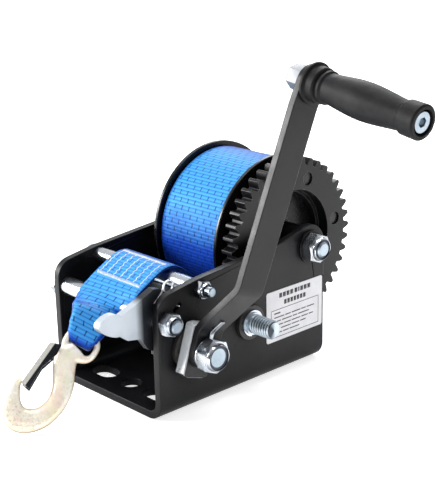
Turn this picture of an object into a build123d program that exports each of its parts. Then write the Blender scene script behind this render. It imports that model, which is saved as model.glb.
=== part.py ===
from build123d import *
import os
from math import atan2, cos, degrees, pi, radians, sin, sqrt, tan

# Boat trailer winch with a two-speed gear train, a strap drum, a crank, a
# ratchet pawl and a snap hook. Millimetres, +Z up. The origin is the centre of
# the underside of the base. +X is the crank side and -Y is the hook side.

# ---------------------------------------------------------------- driving sizes
FRAME_WIDTH = 99.5
FRAME_DEPTH = 140.6
SHEET = 5.0
BEND_RADIUS = 10.9
FRAME_TOP = 96.0
PLATE_OUT = FRAME_WIDTH / 2
PLATE_IN = PLATE_OUT - SHEET
HUMP_RADIUS = 13.7
RUN = 0.05                # radial running clearance of a shaft in its hole
FACE_GAP = 0.1            # end clearance between pieces that turn on each other

MODULE = 2.54
PRESSURE = radians(25)
ADDENDUM = 0.8 * MODULE
DEDENDUM = 1.05 * MODULE
TOOTH_THINNING = 0.14     # taken off each tooth at the pitch circle
CENTRE_EXTRA = 0.03       # added to each centre distance
DRUM_TEETH, SMALL_PINION_TEETH = 41, 10
MIDDLE_TEETH, CRANK_TEETH = 26, 13

DRUM_AXLE = (56.6, 79.8)  # (Y, Z) of each shaft
TRAIN_ANGLE = 214.0       # from the drum axle to the countershaft
CRANK_ANGLE = 182.0       # from the countershaft to the crank shaft
FRONT_TIE = (-63.3, 61.0)
REAR_TIE = (-36.9, 75.3)

WEBBING = 52.0            # wound width between the flanges
WEBBING_THICK = 1.25
ROLL_RADIUS = 51.5
ROLL_BORE = 18.2
FLANGE_RADIUS = 54.4
LEFT_FLANGE = (-37.6, -34.7)
RIGHT_FLANGE = (18.9, 21.4)
GEAR_FACES = (26.5, 35.3)
PINION_FACES = (26.0, 35.8)
MIDDLE_FACES = (36.6, 43.4)
CRANK_GEAR_FACES = (36.9, 43.1)
PAWL_FACES = (37.4, 42.4)
SHAFT_RADIUS = 7.0
THREAD_RADIUS = 6.0

ARM_TILT = 71.5           # of the crank arm above +Y, in the side view
ARM_LEAN = 5.1            # of its upper part outwards
PAD_LEAN = 8.5            # of its end pad and so of the grip
ARM_WIDTH = 19.6
ARM_THICK = 4.5
ARM_LENGTH = 162.6        # shaft centre to grip centre, along the arm
GRIP_LENGTH = 78.0


def polar(centre, radius, angle):
    return (centre[0] + radius * cos(radians(angle)), centre[1] + radius * sin(radians(angle)))


def centre_distance(teeth_a, teeth_b):
    return MODULE * (teeth_a + teeth_b) / 2 + CENTRE_EXTRA


COUNTERSHAFT = polar(DRUM_AXLE, centre_distance(DRUM_TEETH, SMALL_PINION_TEETH), TRAIN_ANGLE)
CRANK_SHAFT = polar(COUNTERSHAFT, centre_distance(MIDDLE_TEETH, CRANK_TEETH), CRANK_ANGLE)

os.makedirs("parts", exist_ok=True)
pieces = {}


# ---------------------------------------------------------------- shared shapes
def turned(centre, sections, bore=0.0):
    """A round piece on an axis along X, from (start, end, radius) sections."""
    with BuildPart() as piece:
        for start, end, radius in sections:
            with BuildSketch(Plane.YZ.offset(start)):
                with Locations(centre):
                    Circle(radius)
            extrude(amount=end - start)
        if bore:
            first = sections[0][0]
            last = sections[-1][1]
            with BuildSketch(Plane.YZ.offset(first)):
                with Locations(centre):
                    Circle(bore)
            extrude(amount=last - first, mode=Mode.SUBTRACT)
    return piece.part


def hex_bolt(centre, start, end, radius, across, head):
    """A bolt along +X: its hexagon head stands on the -X side of start."""
    with BuildPart() as bolt:
        with BuildSketch(Plane.YZ.offset(start - head)):
            with Locations(centre):
                RegularPolygon(across / 2, 6, major_radius=False)
        extrude(amount=head)
        with BuildSketch(Plane.YZ.offset(start)):
            with Locations(centre):
                Circle(radius)
        extrude(amount=end - start)
        chamfer(bolt.edges().filter_by(GeomType.CIRCLE).sort_by(Axis.X)[-1], radius * 0.18)
    return bolt.part


def lock_nut(centre, start, radius, across, height, collar, turn=0.0):
    """A nylon-insert lock nut: a hexagon with a round collar on its outer end."""
    with BuildPart() as nut:
        with BuildSketch(Plane.YZ.offset(start)):
            with Locations(centre):
                RegularPolygon(across / 2, 6, major_radius=False, rotation=turn)
        extrude(amount=height)
        with BuildSketch(Plane.YZ.offset(start + height)):
            with Locations(centre):
                Circle(across * 0.44)
        extrude(amount=collar)
        chamfer(nut.edges().filter_by(GeomType.CIRCLE).sort_by(Axis.X)[-1], collar * 0.35)
        with BuildSketch(Plane.YZ.offset(start)):
            with Locations(centre):
                Circle(radius)
        extrude(amount=height + collar, mode=Mode.SUBTRACT)
    return nut.part


def involute(base, radius, sense):
    """Point at this radius on an involute that leaves the base circle on the x axis."""
    roll = sqrt(max((radius / base) ** 2 - 1, 0))
    swing = sense * (roll - atan2(roll, 1))
    return (radius * cos(swing), radius * sin(swing))


def gear(teeth, centre, faces, tooth_angle, bore):
    """A spur gear with one tooth centred at tooth_angle degrees from +Y."""
    pitch = MODULE * teeth / 2
    base = pitch * cos(PRESSURE)
    tip = pitch + ADDENDUM
    root = pitch - DEDENDUM
    half_angle = (pi * MODULE / 2 - TOOTH_THINNING) / (2 * pitch) + tan(PRESSURE) - PRESSURE
    low = max(base, root)
    radii = [low + (tip - low) * step / 4 for step in range(5)]

    def flank(sense):
        points = []
        for radius in radii:
            x, y = involute(base, radius, -sense)
            points.append(Vector(x, y).rotate(Axis.Z, sense * degrees(half_angle)))
        return points

    right = flank(-1)
    left = flank(1)
    inner_right = right[0].normalized() * (root - 0.4)
    inner_left = left[0].normalized() * (root - 0.4)
    with BuildSketch(Plane.XY) as tooth:
        with BuildLine():
            Line(inner_right, right[0])
            Spline(*right)
            ThreePointArc(right[-1], (tip, 0), left[-1])
            Spline(*reversed(left))
            Line(left[0], inner_left)
            Line(inner_left, inner_right)
        make_face()
    with BuildSketch(Plane.XY) as blank:
        Circle(root)
        with PolarLocations(0, teeth, start_angle=tooth_angle):
            add(tooth.sketch)
        if bore:
            Circle(bore, mode=Mode.SUBTRACT)
    with BuildPart() as wheel:
        with BuildSketch(Plane.YZ.offset(faces[0])):
            with Locations(centre):
                add(blank.sketch)
        extrude(amount=faces[1] - faces[0])
    return wheel.part


def meshing_angle(teeth, tooth_angle, mate_teeth, direction):
    """Tooth angle of a mate whose centre lies at direction degrees from this gear."""
    pitch_angle = 360 / teeth
    steps = round((direction - tooth_angle) / pitch_angle)
    offset = tooth_angle + steps * pitch_angle - direction
    return direction - 180 - offset * teeth / mate_teeth + 180 / mate_teeth


# ------------------------------------------------------------------------ frame
SLOT_Y = 51.9
SLOT_X = 25.2
SLOT_WIDTH = 13.0
SLOT_LENGTH = 20.0
BUSH_HOLE = 9.0
SPRING_SLOT = (-55.1, 68.6)

with BuildPart() as frame:
    with BuildSketch(Plane.XZ.offset(FRAME_DEPTH / 2)):
        with Locations((0, FRAME_TOP / 2)):
            outer = Rectangle(FRAME_WIDTH, FRAME_TOP)
        fillet(outer.vertices().group_by(Axis.Y)[0], BEND_RADIUS)
    extrude(amount=-FRAME_DEPTH)
    with BuildSketch(Plane.XZ.offset(FRAME_DEPTH / 2)):
        with Locations((0, FRAME_TOP / 2 + SHEET)):
            inner = Rectangle(2 * PLATE_IN, FRAME_TOP)
        fillet(inner.vertices().group_by(Axis.Y)[0], BEND_RADIUS - SHEET)
    extrude(amount=-FRAME_DEPTH, mode=Mode.SUBTRACT)
    with BuildSketch(Plane.YZ.offset(-PLATE_OUT - 1)):
        with BuildLine():
            Polyline((70.3, 0), (-70.3, 0), (-70.3, 76.6), (-40.8, 81.3), (30.2, 87.2),
                     (50.0, 91.8), DRUM_AXLE, (70.3, DRUM_AXLE[1]), (70.3, 0))
        side = make_face()
        fillet(side.vertices().sort_by_distance((-70.3, 76.6, 0))[0], 12)
        with Locations(DRUM_AXLE):
            Circle(HUMP_RADIUS)
    extrude(amount=FRAME_WIDTH + 2, mode=Mode.INTERSECT)
    with BuildSketch(Plane.XY):
        for row in (-SLOT_Y, SLOT_Y):
            with Locations((0, row)):
                Circle(SLOT_WIDTH / 2)
            with Locations((-SLOT_X, row), (SLOT_X, row)):
                SlotOverall(SLOT_LENGTH, SLOT_WIDTH)
    extrude(amount=SHEET, mode=Mode.SUBTRACT)
    with BuildSketch(Plane.YZ.offset(-PLATE_OUT)):
        with Locations(CRANK_SHAFT, COUNTERSHAFT):
            Circle(BUSH_HOLE)
        with Locations(DRUM_AXLE):
            Circle(5.0)
        with Locations(FRONT_TIE):
            Circle(4.0)
        with Locations(REAR_TIE):
            Circle(3.0)
    extrude(amount=FRAME_WIDTH, mode=Mode.SUBTRACT)
    with BuildSketch(Plane.YZ.offset(PLATE_IN)):
        with Locations(Location((SPRING_SLOT[0], SPRING_SLOT[1], 0), (0, 0, 35))):
            Rectangle(7.0, 2.6)
    extrude(amount=SHEET, mode=Mode.SUBTRACT)
pieces["frame"] = frame.part

with BuildPart() as label_plate:
    with BuildSketch(Plane.YZ.offset(PLATE_OUT)):
        with Locations((43.1, 40.8)):
            RectangleRounded(50.8, 33.6, 1.5)
    extrude(amount=0.3)
pieces["label_plate"] = label_plate.part

# -------------------------------------------------------- tie bolts and spacers
pieces["front_tie_bolt"] = hex_bolt(FRONT_TIE, -PLATE_OUT, PLATE_OUT + 9.6, 4.0, 13.0, 5.3)
pieces["front_tie_nut"] = lock_nut(FRONT_TIE, PLATE_OUT, 4.0, 13.0, 5.6, 2.4, 12)
pieces["front_tie_spacer"] = turned(FRONT_TIE, [(-PLATE_IN, 36.0, 5.8)], 4.0)
pieces["rear_tie_bolt"] = hex_bolt(REAR_TIE, -PLATE_OUT, PLATE_OUT + 10.5, 3.0, 10.0, 4.0)
pieces["rear_tie_nut"] = lock_nut(REAR_TIE, PLATE_OUT, 3.0, 10.0, 4.4, 1.6, 20)
pieces["rear_tie_spacer"] = turned(REAR_TIE, [(-PLATE_IN, PLATE_IN, 4.9)], 3.0)

with BuildPart() as pawl_washers:
    for start, end in ((36.0, PAWL_FACES[0] - FACE_GAP), (PAWL_FACES[1] + FACE_GAP, PLATE_IN)):
        with BuildSketch(Plane.YZ.offset(start)):
            with Locations(FRONT_TIE):
                Circle(6.3)
                Circle(4.0, mode=Mode.SUBTRACT)
        extrude(amount=end - start)
pieces["pawl_washers"] = pawl_washers.part

# ------------------------------------------------------------- drum and its axle
DRUM_BORE = 8.0
CORE_RADIUS = 14.0
WASHER = 1.8

pieces["drum_axle_bolt"] = hex_bolt(DRUM_AXLE, -PLATE_OUT - WASHER, PLATE_OUT + 12.6, 5.0, 17.0, 6.4)
pieces["drum_axle_nut"] = lock_nut(DRUM_AXLE, PLATE_OUT + WASHER, 5.0, 17.0, 7.4, 2.6, 8)

with BuildPart() as drum_axle_washers:
    for start in (-PLATE_OUT - WASHER, PLATE_OUT):
        with BuildSketch(Plane.YZ.offset(start)):
            with Locations(DRUM_AXLE):
                Circle(10.2)
                Circle(5.0, mode=Mode.SUBTRACT)
        extrude(amount=WASHER)
pieces["drum_axle_washers"] = drum_axle_washers.part

with BuildPart() as drum_axle_spacers:
    for start, end in ((-PLATE_IN, LEFT_FLANGE[0] - FACE_GAP), (RIGHT_FLANGE[1] + FACE_GAP, PLATE_IN)):
        with BuildSketch(Plane.YZ.offset(start)):
            with Locations(DRUM_AXLE):
                Circle(11.5)
                Circle(5.0, mode=Mode.SUBTRACT)
        extrude(amount=end - start)
pieces["drum_axle_spacers"] = drum_axle_spacers.part

ANCHOR = polar(DRUM_AXLE, 16.1, 150)
ANCHOR_RADIUS = 2.0
RIVET_COUNT = 6
RIVET_CIRCLE = 40.8
RIVET_START = 9.5
RIVET_RADIUS = 2.5
GEAR_BORE = 33.4
GEAR_BOSS_BORE = 31.0
GEAR_BOSS = 45.0

pieces["drum_core"] = turned(DRUM_AXLE, [(LEFT_FLANGE[0], RIGHT_FLANGE[1], CORE_RADIUS)], DRUM_BORE)

with BuildPart() as drum_bushes:
    for start in (LEFT_FLANGE[0], RIGHT_FLANGE[1] - 14):
        with BuildSketch(Plane.YZ.offset(start)):
            with Locations(DRUM_AXLE):
                Circle(DRUM_BORE)
                Circle(5.0 + RUN, mode=Mode.SUBTRACT)
        extrude(amount=14)
pieces["drum_bushes"] = drum_bushes.part


def flange(faces, with_rivets):
    """A drum flange with a softened rim, holes for the strap anchor and rivets."""
    with BuildPart() as disc:
        with BuildSketch(Plane.YZ.offset(faces[0])):
            with Locations(DRUM_AXLE):
                Circle(FLANGE_RADIUS)
        extrude(amount=faces[1] - faces[0])
        fillet(disc.edges().filter_by(GeomType.CIRCLE), 0.8)
        with BuildSketch(Plane.YZ.offset(faces[0])):
            with Locations(DRUM_AXLE):
                Circle(CORE_RADIUS)
                if with_rivets:
                    with PolarLocations(RIVET_CIRCLE, RIVET_COUNT, start_angle=RIVET_START):
                        Circle(RIVET_RADIUS)
            with Locations(ANCHOR):
                Circle(ANCHOR_RADIUS)
        extrude(amount=faces[1] - faces[0], mode=Mode.SUBTRACT)
    return disc.part


pieces["drum_left_flange"] = flange(LEFT_FLANGE, False)
pieces["drum_right_flange"] = flange(RIGHT_FLANGE, True)

DRUM_TOOTH = 0.3
with BuildPart() as drum_gear:
    add(gear(DRUM_TEETH, DRUM_AXLE, GEAR_FACES, DRUM_TOOTH, GEAR_BORE))
    with BuildSketch(Plane.YZ.offset(RIGHT_FLANGE[1])):
        with Locations(DRUM_AXLE):
            Circle(GEAR_BOSS)
            Circle(GEAR_BOSS_BORE, mode=Mode.SUBTRACT)
    extrude(amount=GEAR_FACES[0] + 1 - RIGHT_FLANGE[1])
    with BuildSketch(Plane.YZ.offset(RIGHT_FLANGE[1])):
        with Locations(DRUM_AXLE):
            with PolarLocations(RIVET_CIRCLE, RIVET_COUNT, start_angle=RIVET_START):
                Circle(RIVET_RADIUS)
    extrude(amount=GEAR_FACES[1] - RIGHT_FLANGE[1], mode=Mode.SUBTRACT)
    with BuildSketch(Plane.YZ.offset(GEAR_FACES[1] - 3.2)):
        with Locations(DRUM_AXLE):
            with PolarLocations(RIVET_CIRCLE, RIVET_COUNT, start_angle=RIVET_START):
                Circle(4.2)
    extrude(amount=3.2, mode=Mode.SUBTRACT)
pieces["drum_gear"] = drum_gear.part

with BuildPart() as gear_rivets:
    with BuildSketch(Plane.YZ.offset(RIGHT_FLANGE[0])):
        with Locations(DRUM_AXLE):
            with PolarLocations(RIVET_CIRCLE, RIVET_COUNT, start_angle=RIVET_START):
                Circle(RIVET_RADIUS)
    extrude(amount=GEAR_FACES[1] - 3.2 - RIGHT_FLANGE[0])
    with BuildSketch(Plane.YZ.offset(GEAR_FACES[1] - 3.2)):
        with Locations(DRUM_AXLE):
            with PolarLocations(RIVET_CIRCLE, RIVET_COUNT, start_angle=RIVET_START):
                Circle(3.8)
    extrude(amount=1.8)
pieces["gear_rivets"] = gear_rivets.part

pieces["strap_anchor_bolt"] = hex_bolt(
    ANCHOR, LEFT_FLANGE[0], RIGHT_FLANGE[1] + 3.2, ANCHOR_RADIUS, 7.0, 2.8)
pieces["strap_anchor_nut"] = lock_nut(ANCHOR, RIGHT_FLANGE[1], ANCHOR_RADIUS, 7.0, 2.2, 0.9)
ROLL_START = (LEFT_FLANGE[1] + RIGHT_FLANGE[0] - WEBBING) / 2
pieces["strap_roll"] = turned(DRUM_AXLE, [(ROLL_START, ROLL_START + WEBBING, ROLL_RADIUS)], ROLL_BORE)

# ------------------------------------------------------------------ countershaft
CLIP = (52.1, 53.3)
CLIP_GROOVE = SHAFT_RADIUS - 0.6
SHAFT_START = -55.0
THREAD_START = 54.6
FREE_END = 71.0
PINION_TOOTH = meshing_angle(DRUM_TEETH, DRUM_TOOTH, SMALL_PINION_TEETH, TRAIN_ANGLE)
MIDDLE_TOOTH = 0.0
CRANK_TOOTH = meshing_angle(MIDDLE_TEETH, MIDDLE_TOOTH, CRANK_TEETH, CRANK_ANGLE)


def bush_pair(centre, flange_radius):
    """Two flanged bushes, pushed into the side plates from outside."""
    with BuildPart() as pair:
        for start, end, radius in ((-PLATE_OUT - 2.2, -PLATE_OUT, flange_radius),
                                   (-PLATE_OUT, -PLATE_IN, BUSH_HOLE),
                                   (PLATE_IN, PLATE_OUT, BUSH_HOLE),
                                   (PLATE_OUT, PLATE_OUT + 2.2, flange_radius)):
            with BuildSketch(Plane.YZ.offset(start)):
                with Locations(centre):
                    Circle(radius)
                    Circle(SHAFT_RADIUS + RUN, mode=Mode.SUBTRACT)
            extrude(amount=end - start)
    return pair.part


def circlips(centre, places):
    """Open spring rings that sit in the grooves of a shaft."""
    with BuildPart() as clips:
        for start, end in places:
            with BuildSketch(Plane.YZ.offset(start)):
                with Locations(centre):
                    Circle(SHAFT_RADIUS + 1.2)
                    Circle(CLIP_GROOVE, mode=Mode.SUBTRACT)
                with Locations((centre[0], centre[1] - SHAFT_RADIUS)):
                    Rectangle(3.0, 6.0, mode=Mode.SUBTRACT)
            extrude(amount=end - start)
    return clips.part


pieces["countershaft_bushes"] = bush_pair(COUNTERSHAFT, 10.8)
pieces["countershaft"] = turned(COUNTERSHAFT, [
    (SHAFT_START, -CLIP[1], SHAFT_RADIUS),
    (-CLIP[1], -CLIP[0], CLIP_GROOVE),
    (-CLIP[0], CLIP[0], SHAFT_RADIUS),
    (CLIP[0], CLIP[1], CLIP_GROOVE),
    (CLIP[1], THREAD_START, SHAFT_RADIUS),
    (THREAD_START, FREE_END - 1, THREAD_RADIUS),
    (FREE_END - 1, FREE_END, THREAD_RADIUS - 0.9),
])
pieces["countershaft_pinion"] = gear(
    SMALL_PINION_TEETH, COUNTERSHAFT, PINION_FACES, PINION_TOOTH, SHAFT_RADIUS)
pieces["middle_gear"] = gear(MIDDLE_TEETH, COUNTERSHAFT, MIDDLE_FACES, MIDDLE_TOOTH, SHAFT_RADIUS)
pieces["countershaft_circlips"] = circlips(COUNTERSHAFT, [(-CLIP[1], -CLIP[0]), CLIP])

# ------------------------------------------------------------------- crank shaft
HUB = (52.05, 59.9)
HUB_LENGTH = 33.0
HUB_SWEEP = 17.4          # the hub's ends pass inside this radius, clear of the tie nut
ARM_INNER = HUB[1]
TAB_WASHER = (ARM_INNER + ARM_THICK, ARM_INNER + ARM_THICK + 1.4)
SHAFT_END = 74.6

pieces["crank_shaft_bushes"] = bush_pair(CRANK_SHAFT, 13.2)
pieces["crank_shaft"] = turned(CRANK_SHAFT, [
    (SHAFT_START, -CLIP[1], SHAFT_RADIUS),
    (-CLIP[1], -CLIP[0], CLIP_GROOVE),
    (-CLIP[0], HUB[0], SHAFT_RADIUS),
    (HUB[0], SHAFT_END, THREAD_RADIUS),
])
pieces["crank_pinion"] = gear(CRANK_TEETH, CRANK_SHAFT, CRANK_GEAR_FACES, CRANK_TOOTH, SHAFT_RADIUS)
pieces["crank_shaft_circlip"] = circlips(CRANK_SHAFT, [(-CLIP[1], -CLIP[0])])

with BuildPart() as crank_hub:
    with BuildSketch(Plane.YZ.offset(HUB[0])):
        with Locations(Location((CRANK_SHAFT[0], CRANK_SHAFT[1], 0), (0, 0, ARM_TILT))):
            Rectangle(HUB_LENGTH, ARM_WIDTH)
    extrude(amount=HUB[1] - HUB[0])
    chamfer(crank_hub.edges(), 0.8)
    with BuildSketch(Plane.YZ.offset(HUB[0])):
        with Locations(CRANK_SHAFT):
            Circle(HUB_SWEEP)
    extrude(amount=HUB[1] - HUB[0], mode=Mode.INTERSECT)
    with BuildSketch(Plane.YZ.offset(HUB[0])):
        with Locations(CRANK_SHAFT):
            Circle(THREAD_RADIUS)
    extrude(amount=HUB[1] - HUB[0], mode=Mode.SUBTRACT)
pieces["crank_hub"] = crank_hub.part

# The arm is a flat bar with a joggle. It is drawn edge-on, in a plane whose x
# runs up the arm from the shaft and whose y is +X, and then cut to its outline.
arm_along = Vector(0, cos(radians(ARM_TILT)), sin(radians(ARM_TILT)))
arm_edge_plane = Plane(origin=(0, *CRANK_SHAFT), x_dir=arm_along, z_dir=arm_along.cross(Vector(1, 0, 0)))
JOGGLE_START, JOGGLE_END = 14.0, 42.0
LOW_X = ARM_INNER + ARM_THICK / 2
HIGH_X = 86.2
PAD_START = 148.0
PAD_X = HIGH_X + (PAD_START - JOGGLE_END) * tan(radians(ARM_LEAN))
ARM_END = ARM_LENGTH + ARM_WIDTH / 2
lean = radians(PAD_LEAN)
TOP_X = PAD_X + (ARM_END + 1 - PAD_START) * tan(lean)
GRIP_X = PAD_X + (ARM_LENGTH - PAD_START) * tan(lean)
grip_axis = Vector(cos(lean), 0, 0) - arm_along * sin(lean)
grip_root = Vector(GRIP_X, *CRANK_SHAFT) + arm_along * ARM_LENGTH + grip_axis * (ARM_THICK / 2)
grip_plane = Plane(origin=grip_root, x_dir=arm_along + Vector(1, 0, 0) * tan(lean), z_dir=grip_axis)

with BuildPart() as crank_arm:
    with BuildSketch(arm_edge_plane):
        with BuildLine():
            FilletPolyline((-12, LOW_X), (JOGGLE_START, LOW_X), (JOGGLE_END, HIGH_X),
                           (PAD_START, PAD_X), (ARM_END + 1, TOP_X), radius=9)
        trace(line_width=ARM_THICK)
    extrude(amount=ARM_WIDTH / 2 + 1, both=True)
    with BuildSketch(Plane.YZ.offset(ARM_INNER - 5)):
        with Locations(Location((*polar(CRANK_SHAFT, ARM_LENGTH / 2, ARM_TILT), 0), (0, 0, ARM_TILT))):
            SlotCenterToCenter(ARM_LENGTH, ARM_WIDTH)
    extrude(amount=60, mode=Mode.INTERSECT)
    with BuildSketch(Plane.YZ.offset(ARM_INNER - 5)):
        with Locations(CRANK_SHAFT):
            Circle(THREAD_RADIUS)
    extrude(amount=15, mode=Mode.SUBTRACT)
    with BuildSketch(grip_plane.offset(-10)):
        Circle(4.0)
    extrude(amount=20, mode=Mode.SUBTRACT)
pieces["crank_arm"] = crank_arm.part

# One tongue of the tab washer is bent up along the joggle of the arm.
WASHER_RADIUS = 9.6
JOGGLE_ANGLE = atan2(HIGH_X - LOW_X, JOGGLE_END - JOGGLE_START)
TAB_THICK = TAB_WASHER[1] - TAB_WASHER[0]
TAB_X = TAB_WASHER[0] + TAB_THICK / 2
TAB_REACH = 8.0
TAB_BEND = JOGGLE_START - (TAB_X - LOW_X) * tan(JOGGLE_ANGLE / 2) - 0.1

with BuildPart() as tab_washer:
    with BuildSketch(Plane.YZ.offset(TAB_WASHER[0])):
        with Locations(CRANK_SHAFT):
            Circle(WASHER_RADIUS)
            Circle(THREAD_RADIUS, mode=Mode.SUBTRACT)
    extrude(amount=TAB_WASHER[1] - TAB_WASHER[0])
    with BuildSketch(arm_edge_plane):
        with BuildLine():
            FilletPolyline((TAB_REACH, TAB_X), (TAB_BEND, TAB_X),
                           (TAB_BEND + TAB_REACH, TAB_X + TAB_REACH * tan(JOGGLE_ANGLE)), radius=5.9)
        trace(line_width=TAB_THICK)
    extrude(amount=1.5, both=True)
pieces["tab_washer"] = tab_washer.part
pieces["crank_nut"] = lock_nut(CRANK_SHAFT, TAB_WASHER[1], THREAD_RADIUS, 19.0, 7.2, 2.6, 6)

# -------------------------------------------------------------------------- grip
BOLT_RADIUS = 4.0
HEAD_RADIUS = 5.6
HEAD_DEPTH = 5.0
RECESS = 6.0
GRIP_FLANGE = 11.8
COLLAR = 10.2
LIP = 9.4
WAIST = 8.3
SWELL = 10.5
SWELL_AT = 38.0
END_COLLAR = 9.6
NUT_APOTHEM = 6.5
NUT_LENGTH = 11.0
BOLT_END = 1.2

with BuildPart() as grip:
    with BuildSketch(Plane(origin=grip_root, x_dir=grip_plane.x_dir, z_dir=-grip_plane.y_dir)):
        with BuildLine():
            Polyline((BOLT_RADIUS + RUN, FACE_GAP), (GRIP_FLANGE, FACE_GAP), (GRIP_FLANGE, 1.8),
                     (COLLAR, 2.2), (COLLAR, 7.4), (LIP, 8.2), (WAIST, 8.4), (WAIST, 9.8),
                     (LIP, 10.0), (LIP, 11.6), (WAIST, 12.6))
            Spline((WAIST, 12.6), (SWELL, SWELL_AT), (WAIST - 0.2, 66.0), tangents=((0.1, 1), (-0.08, 1)))
            Polyline((WAIST - 0.2, 66.0), (LIP, 67.4), (END_COLLAR, GRIP_LENGTH - 0.8),
                     (END_COLLAR - 0.8, GRIP_LENGTH), (7.0, GRIP_LENGTH), (7.0, GRIP_LENGTH - RECESS),
                     (BOLT_RADIUS + RUN, GRIP_LENGTH - RECESS), (BOLT_RADIUS + RUN, FACE_GAP))
        make_face()
    revolve(axis=Axis(grip_root, grip_axis))
pieces["grip"] = grip.part

with BuildPart() as grip_bolt:
    with BuildSketch(grip_plane.offset(-ARM_THICK - NUT_LENGTH - BOLT_END)):
        Circle(BOLT_RADIUS)
    extrude(amount=ARM_THICK + NUT_LENGTH + BOLT_END + GRIP_LENGTH - RECESS + FACE_GAP)
    with BuildSketch(grip_plane.offset(GRIP_LENGTH - RECESS + FACE_GAP)):
        Circle(HEAD_RADIUS)
    extrude(amount=HEAD_DEPTH)
    with BuildSketch(grip_plane.offset(GRIP_LENGTH - RECESS + FACE_GAP + HEAD_DEPTH)):
        RegularPolygon(2.5, 6, major_radius=False)
    extrude(amount=-3, mode=Mode.SUBTRACT)
pieces["grip_bolt"] = grip_bolt.part

with BuildPart() as grip_nut:
    with BuildSketch(grip_plane.offset(-ARM_THICK)):
        RegularPolygon(NUT_APOTHEM, 6, major_radius=False)
        Circle(BOLT_RADIUS, mode=Mode.SUBTRACT)
    extrude(amount=-NUT_LENGTH)
pieces["grip_nut"] = grip_nut.part

# -------------------------------------------------------------------------- pawl
PAWL_HUB = 6.3
PAWL_REACH = 18.0
PAWL_SPREAD = 55.0
to_pinion = degrees(atan2(CRANK_SHAFT[1] - FRONT_TIE[1], CRANK_SHAFT[0] - FRONT_TIE[0]))
low_tooth = to_pinion - PAWL_SPREAD
high_tooth = to_pinion + PAWL_SPREAD

with BuildPart() as pawl:
    with BuildSketch(Plane.YZ.offset(PAWL_FACES[0])):
        with BuildLine():
            Line(polar(FRONT_TIE, PAWL_REACH, low_tooth), polar(FRONT_TIE, PAWL_HUB, low_tooth))
            ThreePointArc(polar(FRONT_TIE, PAWL_HUB, low_tooth), polar(FRONT_TIE, PAWL_HUB, to_pinion),
                          polar(FRONT_TIE, PAWL_HUB, high_tooth))
            Line(polar(FRONT_TIE, PAWL_HUB, high_tooth), polar(FRONT_TIE, PAWL_REACH, high_tooth))
            Polyline(polar(FRONT_TIE, PAWL_REACH, high_tooth), (-46.0, 67.5), (-62.0, 80.0), (-66.0, 80.6),
                     (-91.0, 70.4))
            Spline((-91.0, 70.4), (-99.0, 73.2), (-106.4, 68.6), (-100.0, 61.6), (-92.0, 59.2))
            Polyline((-92.0, 59.2), (-86.5, 55.0), (-77.0, 53.2), (-71.5, 45.0),
                     polar(FRONT_TIE, PAWL_REACH, low_tooth))
        make_face()
        with Locations(FRONT_TIE):
            Circle(4.0 + RUN, mode=Mode.SUBTRACT)
    extrude(amount=PAWL_FACES[1] - PAWL_FACES[0])
pieces["pawl"] = pawl.part

SPRING_X = (42.75, 44.45)
SPRING_COIL = (-56.2, 80.0)
SPRING_END = (SPRING_SLOT[0] + 1.0, SPRING_SLOT[1] + 0.7)
with BuildPart() as pawl_spring:
    with BuildSketch(Plane.YZ.offset(SPRING_X[0])):
        with Locations(SPRING_COIL):
            Circle(4.2)
            Circle(3.2, mode=Mode.SUBTRACT)
    extrude(amount=SPRING_X[1] - SPRING_X[0])
    with BuildSketch(Plane.YZ.offset(SPRING_X[1] - 1.0)):
        with BuildLine():
            Line((SPRING_COIL[0] + 3.6, SPRING_COIL[1]), SPRING_END)
        trace(line_width=1.0)
    extrude(amount=1.0)
    with BuildSketch(Plane.YZ.offset(SPRING_X[0])):
        with BuildLine():
            Line((SPRING_COIL[0] - 3.6, SPRING_COIL[1]), (-66.0, 72.5))
        trace(line_width=1.0)
    extrude(amount=1.0)
    with BuildSketch(Plane.YZ.offset(SPRING_X[1] - 1.0)):
        with Locations(SPRING_END):
            Circle(0.5)
    extrude(amount=PLATE_OUT + 0.6 - SPRING_X[1] + 1.0)
pieces["pawl_spring"] = pawl_spring.part

# -------------------------------------------------------------------------- hook
# The hook lies in its own plane: x to the right of its face, y from the bowl to
# the eye. The bowl rests on the ground in front of the base.
HOOK_ORIGIN = Vector(2.8, -92.8, 44.9)
hook_up = Vector(-0.066, 0.714, 0.697).normalized()
hook_normal = Vector(0.709, -0.458, 0.536)
hook_right = hook_up.cross(hook_normal).normalized()
hook_plane = Plane(origin=HOOK_ORIGIN, x_dir=hook_right, z_dir=hook_right.cross(hook_up))
HOOK_THICK = 9.0
EYE = (2.6, -0.9)
EYE_BAR = 3.0
EYE_HOLE = (15.0, 9.0)
EYE_SIDE = 3.7
EYE_HALF_THICK = 2.8
LATCH_PIN = (-9.4, -10.2)
eye_top = hook_plane.from_local_coords(Vector(EYE[0], EYE[1] + EYE_HOLE[1] / 2 + EYE_BAR, 0))

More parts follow.
